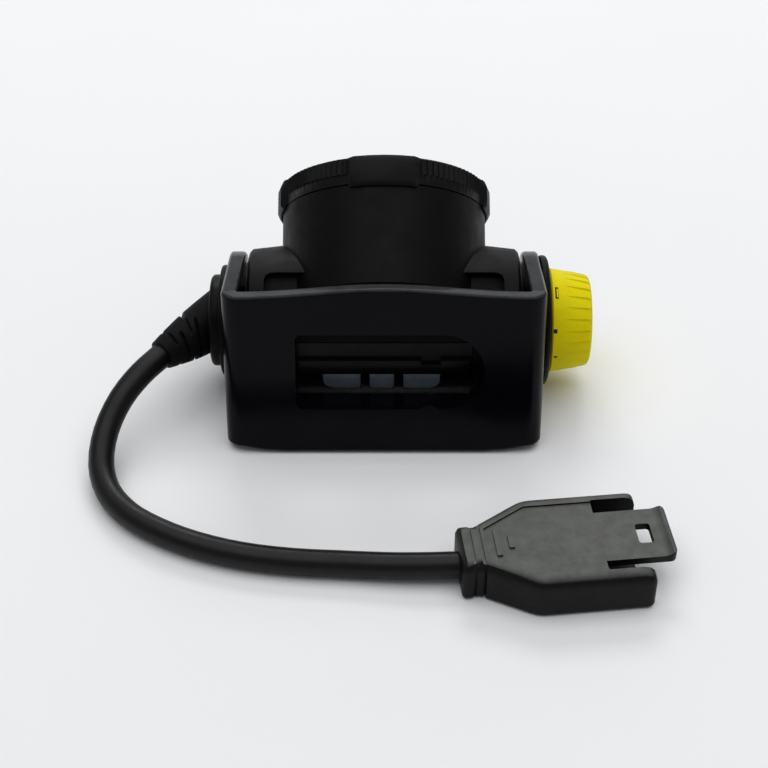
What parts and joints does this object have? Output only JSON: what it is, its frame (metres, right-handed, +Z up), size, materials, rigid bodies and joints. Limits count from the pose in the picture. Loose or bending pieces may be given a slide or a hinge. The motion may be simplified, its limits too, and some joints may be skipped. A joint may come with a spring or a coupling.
{
  "type": "miner's cap lamp",
  "caption": "Cap lamp with a tilting focus head held in a U-shaped bracket, a side switch knob, and a short cable ending in a flat latching plug.",
  "frame": {"origin": "on the table, under the middle of the lamp without its cable end", "axes": "+X towards the switch knob, +Y towards the side that the lens looks to, +Z up"},
  "size_m": [0.1027, 0.0968, 0.0447],
  "materials": {
    "gloss_black": "smooth moulded gloss, light handling marks",
    "matt_black": "fine matt moulding",
    "grained_black": "fine spark-eroded grain",
    "black_rubber": "matt",
    "cable_jacket": "matt extruded jacket",
    "yellow_plastic": "semi-matt moulding",
    "bare_aluminium": "milled",
    "washer_steel": "zinc plated",
    "contact_brass": "plated",
    "clear_lens": "clear polished",
    "board_green": "solder mask",
    "white_plastic": "plain moulding"
  },
  "bodies": {
    "bracket": {"bracket": "gloss_black", "gland_boss": "matt_black", "gland_nut": "matt_black", "strain_relief": "black_rubber", "cord": "cable_jacket", "plug_lower_shell": "grained_black", "plug_upper_shell": "grained_black", "contact_carrier": "white_plastic", "contact_1": "contact_brass", "contact_2": "contact_brass"},
    "head": {"head_housing": "grained_black", "rear_cover": "matt_black", "heat_sink": "bare_aluminium", "led_board": "white_plastic", "led_emitter": "clear_lens", "driver_board": "board_green", "front_window": "clear_lens", "window_seal": "black_rubber", "front_bezel": "matt_black", "focus_seal": "black_rubber", "right_trunnion": "matt_black", "left_trunnion": "matt_black", "right_washer": "washer_steel", "left_washer": "washer_steel", "rotary_switch": "matt_black", "left_cover_screw": "washer_steel", "right_cover_screw": "washer_steel"},
    "focus_ring": {"focus_ring": "matt_black"},
    "lens_carrier": {"lens_carrier": "matt_black", "focus_lens": "clear_lens", "lens_clip": "washer_steel"},
    "switch_knob": {"switch_knob": "yellow_plastic", "knob_shaft": "contact_brass"},
    "latch_tongue": {"latch_tongue": "grained_black"}
  },
  "joints": [
    {"name": "head_tilt", "type": "hinge", "parent": "bracket", "child": "head", "pos_m": [-0.00308, -0.0046, 0.01309], "axis": [1, 0, 0], "range_deg": [-49, 17]},
    {"name": "focus_turn", "type": "hinge", "parent": "head", "child": "focus_ring", "pos_m": [-0.00308, -0.0046, 0.01309], "axis": [0, 0.7924, 0.61], "range_deg": [-60, 60]},
    {"name": "lens_focus", "type": "slide", "parent": "head", "child": "lens_carrier", "axis": [0, 0.7924, 0.61], "range_m": [-0.0028, 0.0028]},
    {"name": "knob_turn", "type": "hinge", "parent": "head", "child": "switch_knob", "pos_m": [-0.00308, -0.0046, 0.01309], "axis": [1, 0, 0], "range_deg": [0, 90]},
    {"name": "latch_flex", "type": "hinge", "parent": "bracket", "child": "latch_tongue", "pos_m": [0.03339, -0.05702, 0.006], "axis": [-0.108, 0.9942, 0], "range_deg": [0, 6], "stiffness_Nm_per_rad": 0.1}
  ],
  "couplings": [
    {"joint": "focus_turn", "follows": "lens_focus", "rad_per_m": 373.99}
  ]
}
